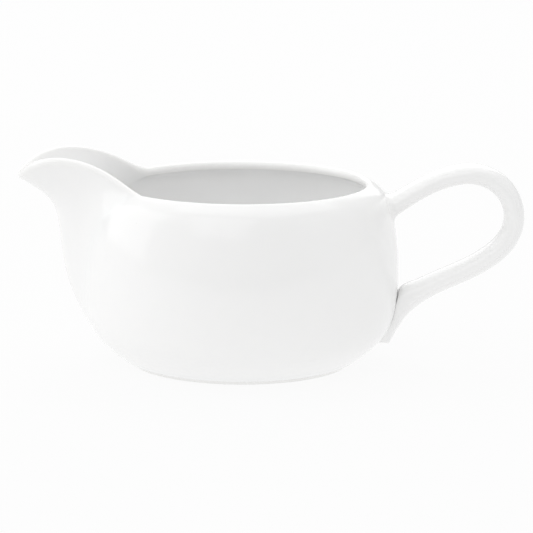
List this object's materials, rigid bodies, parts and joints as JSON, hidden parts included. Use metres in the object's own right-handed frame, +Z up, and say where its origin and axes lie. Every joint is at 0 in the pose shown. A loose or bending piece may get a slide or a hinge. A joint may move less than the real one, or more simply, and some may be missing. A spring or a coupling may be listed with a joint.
{
  "type": "gravy boat",
  "caption": "Round white glazed porcelain gravy boat with a drawn-in rolled lip, a prow-like pouring spout and a loop strap handle opposite it.",
  "frame": {"origin": "centre of the overall length and width, on the table the foot ring stands on", "axes": "+Z up, -X towards the pouring spout, +X towards the handle; the boat is symmetric about the plane Y = 0"},
  "size_m": [0.1994, 0.1242, 0.0836],
  "materials": {
    "glazed_porcelain": "clear gloss glaze over white porcelain",
    "glazed_slip": "glazed over sponged slip",
    "biscuit_porcelain": "unglazed, wiped and polished smooth"
  },
  "bodies": {
    "root": {"bowl": "glazed_porcelain", "foot_ring": "biscuit_porcelain", "handle": "glazed_porcelain", "upper_handle_joint": "glazed_slip", "lower_handle_joint": "glazed_slip"}
  },
  "joints": []
}
